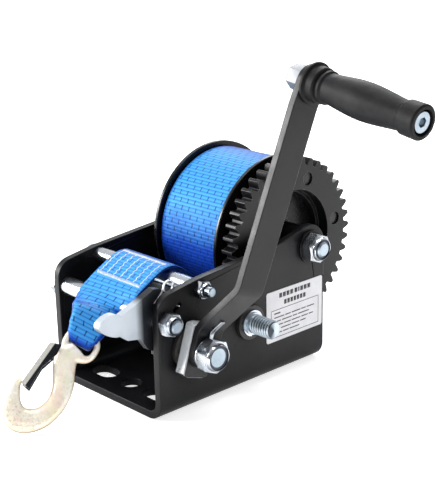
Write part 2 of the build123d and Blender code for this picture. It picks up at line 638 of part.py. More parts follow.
with BuildPart() as hook_body:
    with BuildSketch(hook_plane.offset(-HOOK_THICK / 2)):
        with BuildLine():
            Line((-7.0, -6.0), (6.0, -6.0))
            Spline((6.0, -6.0), (6.2, -13.0), (9.8, -20.5), (12.4, -29.0), (12.6, -38.0), (9.6, -50.5),
                   (1.5, -60.0), (-7.3, -63.6), (-16.0, -60.4), (-20.8, -52.5), (-22.2, -44.0),
                   (-21.8, -38.4), tangents=((0, -1), (0.1, 1)))
            ThreePointArc((-21.8, -38.4), (-19.4, -34.8), (-17.0, -38.0))
            Spline((-17.0, -38.0), (-15.4, -42.2), (-11.6, -46.8), (-7.1, -48.3), (-2.5, -47.0),
                   (0.8, -42.2), (1.5, -35.4), (-0.7, -27.7), (-4.4, -21.9), (-9.0, -17.0),
                   (-12.0, -12.0), tangents=((0.1, -1), (0, 1)))
            ThreePointArc((-12.0, -12.0), (-11.0, -8.2), (-7.0, -6.0))
        make_face()
    extrude(amount=HOOK_THICK)
    with BuildSketch(hook_plane.offset(-EYE_HALF_THICK)):
        with Locations(EYE):
            RectangleRounded(EYE_HOLE[0] + 2 * EYE_SIDE, EYE_HOLE[1] + 4 * EYE_BAR, 9.0)
    extrude(amount=2 * EYE_HALF_THICK)
    with BuildSketch(hook_plane.offset(-HOOK_THICK)):
        with Locations(EYE):
            RectangleRounded(*EYE_HOLE, 2.5)
    extrude(amount=2 * HOOK_THICK, mode=Mode.SUBTRACT)
    with BuildSketch(hook_plane.offset(-HOOK_THICK)):
        with Locations(LATCH_PIN):
            Circle(1.5)
    extrude(amount=2 * HOOK_THICK, mode=Mode.SUBTRACT)
pieces["hook_body"] = hook_body.part

CHEEK = (4.7, 5.6)
with BuildPart() as latch_rivet:
    with BuildSketch(hook_plane.offset(-CHEEK[1] - FACE_GAP)):
        with Locations(LATCH_PIN):
            Circle(1.5)
    extrude(amount=2 * (CHEEK[1] + FACE_GAP))
    for side in (-1, 1):
        with BuildSketch(hook_plane.offset(side * (CHEEK[1] + FACE_GAP))):
            with Locations(LATCH_PIN):
                Circle(2.4)
        extrude(amount=side * 0.9)
pieces["latch_rivet"] = latch_rivet.part

with BuildPart() as hook_latch:
    for side in (-1, 1):
        with BuildSketch(hook_plane.offset(side * CHEEK[0])):
            with BuildLine():
                Polyline((-13.6, -8.8), (-7.0, -7.0), (-6.6, -13.0), (-10.4, -24.0), (-10.6, -38.6),
                         (-16.4, -37.2), (-13.6, -8.8))
            make_face()
            with Locations(LATCH_PIN):
                Circle(1.5 + RUN, mode=Mode.SUBTRACT)
        extrude(amount=side * (CHEEK[1] - CHEEK[0]))
    with BuildSketch(hook_plane.offset(-CHEEK[0])):
        with BuildLine():
            Polyline((-14.65, -19.5), (-13.57, -19.6), (-15.3, -37.5), (-16.4, -37.2), (-14.65, -19.5))
        make_face()
    extrude(amount=2 * CHEEK[0])
pieces["hook_latch"] = hook_latch.part

with BuildPart() as latch_spring:
    with BuildSketch(hook_plane.offset(-1.5)):
        with BuildLine():
            Polyline((-9.2, -18.4), (-11.4, -21.4), (-13.2, -26.0))
        trace(line_width=0.8)
    extrude(amount=3.0)
pieces["latch_spring"] = latch_spring.part

# -------------------------------------------------------------------- strap tail
# The loose end of the strap: from the underside of the roll, over both tie
# spacers, and down to a loop round the top bar of the hook's eye.
TAIL_WIDTH = 46.0
TAIL_THICK = 2.4
LOOP_OUT, LOOP_IN, LOOP_WIDTH = 7.0, 4.6, 13.0
TAIL_CENTRE_X = -1.5
ROLL_CENTRE_X = (LEFT_FLANGE[1] + RIGHT_FLANGE[0]) / 2
roll_end = Vector(ROLL_CENTRE_X, 27.4, 34.6)
route = [(-22.0, 75.0), (-34.0, 82.4), (-52.0, 78.6), (-68.6, 69.0), (-74.0, 61.0)]
loop_plane = Plane(origin=Vector(*eye_top), x_dir=hook_up, z_dir=hook_right)

with BuildPart() as strap_tail:
    with BuildLine(Plane.YZ.offset(TAIL_CENTRE_X)) as tail_line:
        FilletPolyline(*route, radius=7.0)
    start_plane = Plane(origin=tail_line.line @ 0, x_dir=(1, 0, 0), z_dir=tail_line.line % 0)
    with BuildSketch(start_plane):
        Rectangle(TAIL_WIDTH, TAIL_THICK)
    sweep()
    with BuildSketch(Plane(origin=roll_end, x_dir=(1, 0, 0), z_dir=tail_line.line @ 0 - roll_end)):
        Rectangle(TAIL_WIDTH, TAIL_THICK)
    with BuildSketch(start_plane):
        Rectangle(TAIL_WIDTH, TAIL_THICK)
    loft()
    end_point = tail_line.line @ 1
    end_plane = Plane(origin=end_point, x_dir=(1, 0, 0), z_dir=tail_line.line % 1)
    to_eye = Vector(*eye_top) - end_point
    eye_plane = Plane(origin=Vector(*eye_top) - to_eye.normalized() * (LOOP_IN + 1.3), x_dir=hook_right,
                      z_dir=hook_right.cross(to_eye.cross(hook_right)))
    with BuildSketch(end_plane):
        Rectangle(TAIL_WIDTH, TAIL_THICK)
    with BuildSketch(eye_plane):
        Rectangle(LOOP_WIDTH, 4.0)
    loft()
    with BuildSketch(loop_plane.offset(-LOOP_WIDTH / 2)):
        Circle(LOOP_OUT)
    extrude(amount=LOOP_WIDTH)
    with BuildSketch(loop_plane.offset(-LOOP_WIDTH)):
        Circle(LOOP_IN)
    extrude(amount=2 * LOOP_WIDTH, mode=Mode.SUBTRACT)
pieces["strap_tail"] = strap_tail.part

for name, piece in pieces.items():
    piece.label = name
    export_step(piece, f"parts/{name}.step")
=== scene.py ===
"""Looks for a boat trailer winch: webbing, hook, threads, nuts, springs, label and finishes.

Shapes are written in millimetres in the frame of the CAD model and scaled to metres. The
camera, the lights and the sizes inside materials are in metres.
"""
from math import ceil, cos, pi, radians, sin, tan

import bmesh
import bpy
from mathutils import Matrix, Vector

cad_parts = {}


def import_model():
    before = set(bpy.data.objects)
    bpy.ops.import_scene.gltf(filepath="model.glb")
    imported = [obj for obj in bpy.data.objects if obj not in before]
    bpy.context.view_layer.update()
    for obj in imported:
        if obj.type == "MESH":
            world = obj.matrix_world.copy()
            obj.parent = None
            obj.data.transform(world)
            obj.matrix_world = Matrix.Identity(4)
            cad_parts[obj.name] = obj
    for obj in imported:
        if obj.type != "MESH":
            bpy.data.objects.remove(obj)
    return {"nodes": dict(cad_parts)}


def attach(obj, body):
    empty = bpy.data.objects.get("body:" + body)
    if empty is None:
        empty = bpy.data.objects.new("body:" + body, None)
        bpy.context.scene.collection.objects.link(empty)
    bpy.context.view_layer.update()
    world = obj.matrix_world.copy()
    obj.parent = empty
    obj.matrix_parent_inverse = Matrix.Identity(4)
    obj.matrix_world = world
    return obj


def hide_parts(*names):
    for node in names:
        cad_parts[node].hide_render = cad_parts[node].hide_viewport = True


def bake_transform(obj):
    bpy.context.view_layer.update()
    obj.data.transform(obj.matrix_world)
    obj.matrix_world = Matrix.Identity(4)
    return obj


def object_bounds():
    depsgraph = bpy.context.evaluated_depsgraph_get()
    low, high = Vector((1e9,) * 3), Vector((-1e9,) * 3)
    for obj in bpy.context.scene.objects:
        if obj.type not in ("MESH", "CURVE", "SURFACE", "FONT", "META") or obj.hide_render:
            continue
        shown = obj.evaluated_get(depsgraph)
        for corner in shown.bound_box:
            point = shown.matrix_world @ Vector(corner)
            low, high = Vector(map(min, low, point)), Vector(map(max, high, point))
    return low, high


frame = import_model()
cad_low, cad_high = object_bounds()
nodes = frame["nodes"]
scene = bpy.context.scene
scene.view_settings.view_transform = "Standard"
MM = 0.001


# ----------------------------------------------------------------------- camera
AIM = Vector((0, 0.0047, 0.060))
DISTANCE = 0.77279


def place_camera():
    """A camera on the hook's side and the crank's side, a little above the winch."""
    azimuth, elevation, roll = radians(48.1), radians(19.12), radians(-1.52)
    back = Vector((cos(elevation) * sin(azimuth), -cos(elevation) * cos(azimuth), sin(elevation)))
    level = Vector((cos(azimuth), sin(azimuth), 0))
    lift = back.cross(level)
    right = cos(roll) * level + sin(roll) * lift
    up = -sin(roll) * level + cos(roll) * lift
    data = bpy.data.cameras.new("camera")
    data.lens = 88.14
    data.sensor_width = 36
    data.shift_x = 0.0433
    data.shift_y = 0.0602
    data.clip_start = 0.01
    camera = bpy.data.objects.new("camera", data)
    scene.collection.objects.link(camera)
    turn = Matrix((right, up, back)).transposed().to_4x4()
    camera.matrix_world = Matrix.Translation(AIM + back * DISTANCE) @ turn
    scene.camera = camera


place_camera()

# --------------------------------------------------------- sizes of the CAD model
# The shafts' centres are (y, z), because they all lie along X.
PLATE_OUT, PLATE_IN = 49.75, 44.75
DRUM_AXLE = (56.6, 79.8)
COUNTERSHAFT = (2.878, 43.564)
CRANK_SHAFT = (-46.652, 41.834)
FRONT_TIE = (-63.3, 61.0)
REAR_TIE = (-36.9, 75.3)
AXLE_WASHER = 1.8
ARM_SEAT, ARM_THICK, TAB_THICK = 59.9, 4.5, 1.4
THREAD_PITCH = 2.0
FIRST_GROOVE, GROOVE_RUN_IN = 55.0, 0.6
# The hook's own axes: right and up lie in its plane, and up goes from its bowl to its eye.
HOOK_ORIGIN = Vector((2.8, -92.8, 44.9))
HOOK_UP = Vector((-0.066, 0.714, 0.697)).normalized()
HOOK_RIGHT = HOOK_UP.cross(Vector((0.709, -0.458, 0.536))).normalized()
HOOK_NORMAL = HOOK_RIGHT.cross(HOOK_UP)
LATCH_ACROSS = (HOOK_RIGHT * 0.995 - HOOK_UP * 0.098).normalized()
# A painted shade sets in across the latch, 2.6 mm from here, and is full at 3.1 mm.
LATCH_EDGE = HOOK_ORIGIN.dot(LATCH_ACROSS) - 12.67
LATCH_SHADE = (tuple(LATCH_ACROSS), (LATCH_EDGE + 2.6) * MM, (LATCH_EDGE + 3.1) * MM)


# ------------------------------------------------------------------ mesh helpers
X_AXIS, Y_AXIS = (1, 0, 0), (0, 1, 0)


def turn_outwards(mesh):
    """Turns the faces of a closed mesh outwards."""
    work = bmesh.new()
    work.from_mesh(mesh)
    bmesh.ops.recalc_face_normals(work, faces=work.faces)
    work.to_mesh(mesh)
    work.free()


def piece(name, points, faces, body, materials, sharp, uv=None, face_slots=None):
    """A mesh from points in millimetres, shaded smooth apart from edges sharper than sharp.

    It rides on body, unless body is None."""
    mesh = bpy.data.meshes.new(name)
    mesh.from_pydata([tuple(c * MM for c in p) for p in points], [], faces)
    if uv:
        layer = mesh.uv_layers.new(name="weave")
        for corner in mesh.loops:
            layer.data[corner.index].uv = uv[corner.vertex_index]
    for material in materials:
        mesh.materials.append(material)
    if face_slots:
        for polygon, index in zip(mesh.polygons, face_slots):
            polygon.material_index = index
    made = bpy.data.objects.new(name, mesh)
    scene.collection.objects.link(made)
    turn_outwards(mesh)
    mesh.shade_smooth()
    if sharp:
        mesh.set_sharp_from_angle(angle=sharp)
    if body:
        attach(made, body)
    return made


def rings(loops, closed=False, caps=False):
    """Points and faces that join equal loops of points one after another."""
    count = len(loops[0])
    points = [p for loop in loops for p in loop]
    faces = []
    total = len(loops)
    for i in range(total if closed else total - 1):
        j = (i + 1) % total
        for k in range(count):
            m = (k + 1) % count
            faces.append((i * count + k, i * count + m, j * count + m, j * count + k))
    if caps and not closed:
        faces.append(tuple(range(count))[::-1])
        faces.append(tuple(range((total - 1) * count, total * count)))
    return points, faces


def joined(parts):
    """Points and faces of several meshes as one."""
    points, faces = [], []
    for more_points, more_faces in parts:
        base = len(points)
        points.extend(more_points)
        faces.extend([tuple(v + base for v in face) for face in more_faces])
    return points, faces


def frame_of(axis, hint):
    """Two unit vectors across an axis, the first as near hint as it can be."""
    axis = Vector(axis).normalized()
    first = Vector(hint) - axis * Vector(hint).dot(axis)
    first.normalize()
    return first, axis.cross(first)


def lathe(section_at, origin, steps=96):
    """A turned body along +X; section_at(angle) is its closed list of (along, radius)."""
    first, second = frame_of(X_AXIS, Y_AXIS)
    axis, origin = Vector(X_AXIS), Vector(origin)
    loops = []
    for i in range(steps):
        angle = 2 * pi * i / steps
        out = first * cos(angle) + second * sin(angle)
        loops.append([tuple(origin + axis * a + out * r) for a, r in section_at(angle)])
    return rings(loops, closed=True)


# --------------------------------------------------------------------- materials
def node(tree, kind, inputs=None, **settings):
    """A shader node; an input given as a socket is linked, and a value is set."""
    made = tree.nodes.new("ShaderNode" + kind)
    for key, value in settings.items():
        setattr(made, key, value)
    for key, value in (inputs or {}).items():
        if isinstance(value, bpy.types.NodeSocket):
            tree.links.new(value, made.inputs[key])
        else:
            made.inputs[key].default_value = value
    return made


def maths(tree, operation, a, b=0.0, c=0.0):
    return node(tree, "Math", {0: a, 1: b, 2: c}, operation=operation).outputs[0]


def mix(tree, factor, a, b, blend="MIX"):
    made = node(tree, "Mix", {0: factor}, data_type="RGBA", blend_type=blend)
    for index, value in ((6, a), (7, b)):
        if isinstance(value, bpy.types.NodeSocket):
            tree.links.new(value, made.inputs[index])
        else:
            made.inputs[index].default_value = (*value, 1)
    return made.outputs[2]


def dot(tree, a, b):
    return node(tree, "VectorMath", {0: a, 1: b}, operation="DOT_PRODUCT").outputs["Value"]


def surface_normal(tree):
    return node(tree, "NewGeometry").outputs["Normal"]


def ramp(tree, value, low, high, start=0.0, end=1.0):
    """Value from low to high, taken to start to end and held there beyond."""
    made = node(tree, "MapRange", {0: value, 1: low, 2: high, 3: start, 4: end})
    made.clamp = True
    return made.outputs[0]


def noise(tree, coords, scale, detail=2.0, rough=0.5, stretch=None):
    if stretch:
        coords = node(tree, "Mapping", {0: coords, 3: stretch}).outputs[0]
    return node(tree, "TexNoise", {"Vector": coords, "Scale": scale, "Detail": detail,
                                   "Roughness": rough}).outputs[0]


def start_material(name):
    material = bpy.data.materials.new(name)
    material.use_nodes = True
    tree = material.node_tree
    coords = node(tree, "TexCoord").outputs["Object"]
    return material, tree, tree.nodes["Principled BSDF"], coords


def set_inputs(tree, shader, **values):
    names = {"color": "Base Color", "rough": "Roughness", "metal": "Metallic", "normal": "Normal",
             "spec": "Specular IOR Level", "tint": "Specular Tint", "sheen": "Sheen Weight",
             "sheen_rough": "Sheen Roughness", "sheen_tint": "Sheen Tint",
             "glow": "Emission Color", "glow_strength": "Emission Strength"}
    for key, value in values.items():
        socket = shader.inputs[names[key]]
        if isinstance(value, bpy.types.NodeSocket):
            tree.links.new(value, socket)
        elif isinstance(value, tuple) and len(value) == 3:
            socket.default_value = (*value, 1)
        else:
            socket.default_value = value


def bump(tree, height, strength, distance):
    return node(tree, "Bump", {"Height": height, "Strength": strength, "Distance": distance}).outputs[0]


def edge_mask(tree, radius, low=0.02, high=0.25):
    """1 along outer edges, from how far a rounded normal leans from the true one."""
    rounded = node(tree, "Bevel", {"Radius": radius}, samples=6).outputs[0]
    agreement = dot(tree, rounded, surface_normal(tree))
    return ramp(tree, maths(tree, "SUBTRACT", 1.0, agreement), low, high)


def coat(name, dark, light, edge, rough=0.42, peel=0.06, edge_width=0.0007, spec=0.5):
    """Powder coat: a fine orange peel, cloudy tone, edges lighter from wear and, on the gear, painted
    glints, and gloss cut in corners as a painted shade.
    """
    material, tree, shader, coords = start_material(name)
    cloud = ramp(tree, noise(tree, coords, 45, 3), 0.35, 0.65)
    tone = mix(tree, cloud, dark, light)
    # Edges are lighter: rubbed wear, and on the gear's teeth a painted glint.
    wear_and_glint = maths(tree, "MULTIPLY", edge_mask(tree, edge_width),
                 ramp(tree, noise(tree, coords, 160, 4), 0.3, 0.6, 0.35, 1.0))
    tone = mix(tree, wear_and_glint, tone, edge)
    speck = noise(tree, coords, 1300, 2)
    # Painted shade: the gloss is cut where ambient occlusion finds corners and the inside.
    corner_shade_mask = node(tree, "AmbientOcclusion", {"Distance": 0.06}, samples=8).outputs["AO"]
    set_inputs(tree, shader, color=tone, spec=ramp(tree, corner_shade_mask, 0.35, 0.9, 0.25 * spec, spec),
               rough=ramp(tree, noise(tree, coords, 90, 3), 0.3, 0.7, rough - 0.05, rough + 0.07),
               normal=bump(tree, speck, peel, 0.0004))
    return material


UNDERSIDE_SHADE, PAINTED_SHADE_TONE = (0.07, 0.08, 0.095), (0.016, 0.019, 0.024)
BLACK_FACE, GROOVE_SHADE = (0.010, 0.010, 0.011), (0.05, 0.06, 0.07)


def plated(name, bright, dull, rough=0.2, streak=(60, 60, 60), depth=0.12, spots=0.35, metal=1.0,
           shade=None, underside_shade=0.8, thread=None, black_side=None):
    """Bright zinc plate: cloudy reflections with fine rolling or turning marks.

    Undersides are painted darker, a shade from below. With shade (direction, from, to) a painted
    shade sets in along that direction, in metres. With thread (centre, pitch) the grooves of a thread
    along X are painted dark as shade from FIRST_GROOVE on. Faces that look along black_side are black."""
    material, tree, shader, coords = start_material(name)
    cloud = ramp(tree, noise(tree, coords, 1.0, 4, 0.6, streak), 0.42, 0.6)
    tone = mix(tree, maths(tree, "MULTIPLY", cloud, spots), bright, dull)
    normal = surface_normal(tree)
    down = dot(tree, normal, (0, 0, -1))
    # Painted shade: faces that look down are darker.
    tone = mix(tree, ramp(tree, down, 0.12, 0.7, 0.0, underside_shade), tone, UNDERSIDE_SHADE)
    if shade:
        direction, start, end = shade
        # Painted shade: the tone darkens along the shade direction.
        tone = mix(tree, ramp(tree, dot(tree, coords, direction), start, end), tone, PAINTED_SHADE_TONE)
    if black_side:
        side = dot(tree, normal, black_side)
        tone = mix(tree, ramp(tree, side, 0.6, 0.8), tone, BLACK_FACE)
    # Painted shade: the thread's grooves are darkened.
    if thread:
        centre, pitch = thread
        split = node(tree, "SeparateXYZ", {0: coords}).outputs
        turned = maths(tree, "ARCTAN2", maths(tree, "SUBTRACT", split[2], centre[1] * MM),
                       maths(tree, "SUBTRACT", split[1], centre[0] * MM))
        phase = maths(tree, "SUBTRACT", maths(tree, "DIVIDE", split[0], pitch * MM),
                      maths(tree, "DIVIDE", turned, 2 * pi))
        groove = ramp(tree, maths(tree, "COSINE", maths(tree, "MULTIPLY", phase, 2 * pi)), -0.2, 0.7)
        beyond = ramp(tree, split[0], FIRST_GROOVE * MM, (FIRST_GROOVE + GROOVE_RUN_IN) * MM)
        tone = mix(tree, maths(tree, "MULTIPLY", groove, beyond), tone, GROOVE_SHADE)
    fine = noise(tree, coords, 1100, 3)
    wave = noise(tree, coords, 260, 2)
    height = maths(tree, "ADD", wave, maths(tree, "MULTIPLY", fine, 0.35))
    set_inputs(tree, shader, color=tone, metal=metal,
               rough=ramp(tree, cloud, 0.0, 1.0, rough, rough + 0.14),
               normal=bump(tree, height, depth, 0.0005))
    return material


BOWL_DROP, SCUFF_FADE = 46.0, 8.0


def yellow_plate():
    """Yellow passivated zinc on a forging: cream and gold clouds with pink and green tints.

    The bowl is scuffed and stained. The sides are painted gold and then dark as they turn from
    the hook's plane, a painted shade towards the back."""
    material, tree, shader, coords = start_material("yellow_zinc")
    tone = mix(tree, ramp(tree, noise(tree, coords, 70, 3), 0.38, 0.62),
               (0.95, 0.86, 0.64), (1.0, 0.96, 0.86))
    tone = mix(tree, ramp(tree, noise(tree, coords, 105, 3, 0.5, (1, 1.4, 0.7)), 0.52, 0.66, 0, 0.55),
               tone, (0.92, 0.70, 0.62))
    tone = mix(tree, ramp(tree, noise(tree, coords, 88, 2, 0.5, (0.8, 1, 1.6)), 0.58, 0.7, 0, 0.4),
               tone, (0.74, 0.84, 0.62))
    low = dot(tree, coords, tuple(HOOK_UP))
    bowl = (HOOK_ORIGIN.dot(HOOK_UP) - BOWL_DROP) * MM
    scuffed = ramp(tree, low, bowl, bowl - SCUFF_FADE * MM, 0.1, 1.0)
    spots = ramp(tree, noise(tree, coords, 700, 4, 0.7), 0.5, 0.62, 0, 0.5)
    stain = maths(tree, "MULTIPLY", scuffed, spots)
    tone = mix(tree, stain, tone, (0.36, 0.24, 0.18))
    # Painted shade: faces that turn from the hook's plane are painted gold, then near black, with less
    # gloss.
    face = dot(tree, surface_normal(tree), tuple(HOOK_NORMAL))
    tone = mix(tree, ramp(tree, face, 0.80, 0.45, 0.0, 0.7), tone, (0.62, 0.47, 0.28))
    tone = mix(tree, ramp(tree, face, 0.42, 0.12, 0.0, 0.95), tone, (0.07, 0.05, 0.035))
    forged = noise(tree, coords, 150, 2)
    set_inputs(tree, shader, color=tone, metal=0.12, spec=ramp(tree, face, 0.15, 0.7, 0.02, 0.5),
               rough=ramp(tree, noise(tree, coords, 160, 3), 0.35, 0.65, 0.2, 0.32),
               normal=bump(tree, forged, 0.12, 0.0006))
    return material


# Painted light: the strap's faces are painted lighter the more they turn to this direction.
WEB_LIGHT_DIRECTION = (0.35, -0.58, 0.73)
WEAVE_ROW, WEAVE_COLUMN = 4.8, 6.4
WEAVE_RIB, WEAVE_WARP = 2.4, 0.85


def ridges(tree, place, spacing):
    """0 to 1 and back, once for each spacing in millimetres."""
    wave = maths(tree, "COSINE", maths(tree, "MULTIPLY", place, 2 * pi / (spacing * MM)))
    return ramp(tree, wave, -1, 1)


def webbing(name):
    """Woven polyester strap, painted lighter where its faces turn to one fixed direction, a painted
    light. Its UV map holds metres: u across the strap, v along it.
    """
    material, tree, shader, coords = start_material(name)
    place = node(tree, "UVMap", uv_map="weave").outputs[0]
    split = node(tree, "SeparateXYZ", {0: place})
    across, along = split.outputs[0], split.outputs[1]
    row = maths(tree, "DIVIDE", along, WEAVE_ROW * MM)
    row_number = maths(tree, "FLOOR", row)
    row_part = maths(tree, "FRACT", row)
    shift = maths(tree, "MULTIPLY", maths(tree, "FLOORED_MODULO", row_number, 2.0), 0.5)
    column = maths(tree, "ADD", maths(tree, "DIVIDE", across, WEAVE_COLUMN * MM), shift)
    column = maths(tree, "FRACT", column)
    near_column = maths(tree, "ABSOLUTE", maths(tree, "SUBTRACT", column, 0.5))
    near_row = maths(tree, "ABSOLUTE", maths(tree, "SUBTRACT", row_part, 0.5))
    tick = maths(tree, "MULTIPLY", ramp(tree, near_column, 0.04, 0.085, 1, 0),
                 ramp(tree, near_row, 0.28, 0.38, 1, 0))
    rib = ridges(tree, along, WEAVE_RIB)
    warp = ridges(tree, across, WEAVE_WARP)
    # Painted light: the tone goes from dark blue to sky blue as faces turn to that fixed direction.
    lit = dot(tree, surface_normal(tree), WEB_LIGHT_DIRECTION)
    lit = maths(tree, "ADD", lit, ramp(tree, noise(tree, coords, 40, 3), 0.3, 0.7, -0.06, 0.06))
    tone = mix(tree, ramp(tree, lit, 0.28, 0.58), (0.001, 0.008, 0.18), (0.001, 0.038, 0.38))
    tone = mix(tree, ramp(tree, lit, 0.58, 0.86), tone, (0.050, 0.31, 0.70))
    tone = mix(tree, ramp(tree, rib, 0.0, 0.5, 0.62, 0.0), tone, (0.002, 0.06, 0.40))
    tone = mix(tree, ramp(tree, warp, 0.0, 0.4, 0.25, 0.0), tone, (0.002, 0.07, 0.46))
    tone = mix(tree, maths(tree, "MULTIPLY", tick, 0.85), tone, (0.001, 0.012, 0.10))
    height = maths(tree, "ADD", maths(tree, "MULTIPLY", rib, 0.6), maths(tree, "MULTIPLY", warp, 0.22))
    height = maths(tree, "SUBTRACT", height, maths(tree, "MULTIPLY", tick, 0.9))
    set_inputs(tree, shader, color=tone, rough=0.5, spec=0.3, tint=(0.45, 0.85, 1.0),
               sheen=0.08, sheen_rough=0.45, sheen_tint=(0.3, 0.8, 1.0),
               normal=bump(tree, height, 0.5, 0.0004))
    return material


def moulded(name, dark, light, rough=0.55, grain=1500, depth=0.18, spec=0.5):
    """Plastic, ink or thread with a grained surface."""
    material, tree, shader, coords = start_material(name)
    tone = mix(tree, ramp(tree, noise(tree, coords, 130, 4, 0.65), 0.35, 0.7), dark, light)
    texture = maths(tree, "ADD", noise(tree, coords, grain, 3, 0.6),
                    maths(tree, "MULTIPLY", noise(tree, coords, grain / 4, 2), 0.5))
    set_inputs(tree, shader, color=tone, rough=rough, spec=spec, normal=bump(tree, texture, depth, 0.0004))
    return material


def sticker():
    """Pale satin film."""
    material, tree, shader, coords = start_material("label")
    cloud = ramp(tree, noise(tree, coords, 120, 3), 0.3, 0.7)
    tone = mix(tree, cloud, (0.70, 0.70, 0.73), (0.78, 0.78, 0.80))
    set_inputs(tree, shader, color=tone, rough=0.4, metal=0.0,
               normal=bump(tree, noise(tree, coords, 700, 2), 0.04, 0.0003))
    return material


frame_coat = coat("powder_coat", (0.0030, 0.0030, 0.0037), (0.0055, 0.0055, 0.0066), (0.07, 0.07, 0.076),
                  spec=0.31)
arm_coat = coat("arm_coat", (0.0060, 0.0061, 0.0069), (0.0090, 0.0091, 0.0102), (0.16, 0.16, 0.165), 0.38,
                spec=0.30)
drum_coat = coat("drum_coat", (0.0035, 0.0035, 0.004), (0.006, 0.006, 0.007), (0.16, 0.15, 0.14), 0.26,
                 spec=0.45)
# Its light edge tone paints glints on the tooth tips.
wheel_coat = coat("wheel_coat", (0.0035, 0.0035, 0.0042), (0.0065, 0.0065, 0.0076), (0.55, 0.55, 0.57), 0.32,
                  edge_width=0.0006, spec=0.30)
dark_steel = coat("gear_steel", (0.015, 0.015, 0.016), (0.03, 0.03, 0.031), (0.35, 0.35, 0.36), 0.33)
zinc = plated("zinc", (0.66, 0.69, 0.73), (0.34, 0.39, 0.45), 0.17, spots=0.55)
shaft_zinc = plated("shaft_zinc", (0.40, 0.47, 0.53), (0.24, 0.30, 0.36), 0.28, spots=0.7)
thread_zinc = plated("thread_zinc", (0.62, 0.70, 0.76), (0.36, 0.43, 0.49), 0.28, spots=0.6,
                     thread=(COUNTERSHAFT, THREAD_PITCH))
# The hub's underside is painted fully dark as shade.
hub_zinc = plated("hub_zinc", (0.90, 0.92, 0.94), (0.60, 0.64, 0.68), 0.26, spots=0.6, metal=0.4,
                  underside_shade=1.0, black_side=(1, 0, 0))
# The pawl is painted darker towards the back, a painted shade.
pawl_zinc = plated("pawl_zinc", (0.50, 0.55, 0.60), (0.44, 0.49, 0.54), 0.38, depth=0.02, spots=0.5,
                   metal=0.5, shade=((0, 1, 0), -0.0800, -0.0745))
# The latch is painted darker on its hollow side, a painted shade.
latch_zinc = plated("latch_zinc", (0.86, 0.84, 0.78), (0.66, 0.64, 0.58), 0.26, spots=0.5, metal=0.45,
                    shade=LATCH_SHADE)
nut_zinc = plated("nut_zinc", (0.27, 0.28, 0.30), (0.20, 0.21, 0.23), 0.40, spots=0.5, metal=0.1)
wire_zinc = plated("wire_zinc", (0.86, 0.88, 0.90), (0.66, 0.69, 0.73), 0.3, spots=0.4, metal=0.4)
yellow_zinc = yellow_plate()
blue_webbing = webbing("webbing")
grip_plastic = moulded("grip_plastic", (0.0050, 0.0050, 0.0056), (0.0120, 0.0120, 0.0130), spec=0.17)
nylon = moulded("nylon", (0.010, 0.016, 0.03), (0.02, 0.03, 0.05), 0.4, 900, 0.05)
bush = moulded("bush", (0.012, 0.011, 0.010), (0.03, 0.027, 0.024), 0.45, 900, 0.1)
label_face = sticker()
label_ink = moulded("label_ink", (0.02, 0.02, 0.022), (0.05, 0.05, 0.055), 0.5, 600, 0.02)
thread_white = moulded("stitch_thread", (0.72, 0.76, 0.82), (0.86, 0.89, 0.93), 0.6, 2600, 0.3)

FINISHES = {
    "frame": frame_coat, "label_plate": label_face,
    "front_tie_bolt": zinc, "front_tie_nut": zinc, "front_tie_spacer": zinc,
    "rear_tie_bolt": zinc, "rear_tie_nut": zinc, "rear_tie_spacer": zinc,
    "pawl_washers": zinc, "drum_axle_bolt": zinc, "drum_axle_nut": zinc,
    "drum_axle_washers": frame_coat, "drum_axle_spacers": drum_coat,
    "countershaft_bushes": bush, "crank_shaft_bushes": bush,
    "strap_tail": blue_webbing, "pawl_spring": wire_zinc,
    "drum_core": drum_coat, "drum_bushes": bush, "drum_left_flange": drum_coat,
    "drum_right_flange": drum_coat, "drum_gear": wheel_coat, "gear_rivets": drum_coat,
    "strap_anchor_bolt": zinc, "strap_anchor_nut": zinc, "strap_roll": blue_webbing,
    "countershaft": shaft_zinc, "countershaft_pinion": dark_steel, "middle_gear": dark_steel,
    "countershaft_circlips": zinc, "crank_shaft": shaft_zinc, "crank_pinion": dark_steel,
    "crank_shaft_circlip": zinc, "crank_hub": hub_zinc, "crank_arm": arm_coat, "tab_washer": zinc,
    "crank_nut": zinc, "grip_bolt": shaft_zinc, "grip_nut": nut_zinc, "grip": grip_plastic,
    "pawl": pawl_zinc, "hook_body": yellow_zinc, "latch_rivet": latch_zinc,
    "latch_spring": wire_zinc, "hook_latch": latch_zinc,
}
for name, finish in FINISHES.items():
    nodes[name].data.materials.clear()
    nodes[name].data.materials.append(finish)


def soften(name, width):
    """Rounds the edges of a CAD node with modifiers, which leave its own mesh as it is."""
    made = nodes[name]
    weld = made.modifiers.new("weld", "WELD")
    weld.merge_threshold = 0.00001
    bevel = made.modifiers.new("bevel", "BEVEL")
    bevel.width = width * MM
    bevel.segments = 2
    bevel.limit_method = "ANGLE"
    bevel.angle_limit = radians(30)
    weighted = made.modifiers.new("weighted", "WEIGHTED_NORMAL")
    weighted.mode = "FACE_AREA"
    weighted.weight = 100
    weighted.keep_sharp = False
    made.data.shade_smooth()


EDGE_WIDTHS = {
    "frame": 0.5, "crank_arm": 0.45, "crank_hub": 0.5, "pawl": 0.6, "drum_gear": 0.25,
    "middle_gear": 0.25, "hook_latch": 0.2, "tab_washer": 0.25, "pawl_washers": 0.3,
    "crank_shaft": 0.9, "grip_bolt": 0.35, "grip_nut": 0.4, "grip": 0.3, "gear_rivets": 0.5,
}
for name, width in EDGE_WIDTHS.items():
    soften(name, width)


# ------------------------------------------------------------------------- nuts
def hexagon(apothem, angle, turn):
    """How far a hexagon's outline is from its centre at an angle."""
    step = pi / 3
    local = (angle - turn + step / 2) % step - step / 2
    return apothem / cos(local)


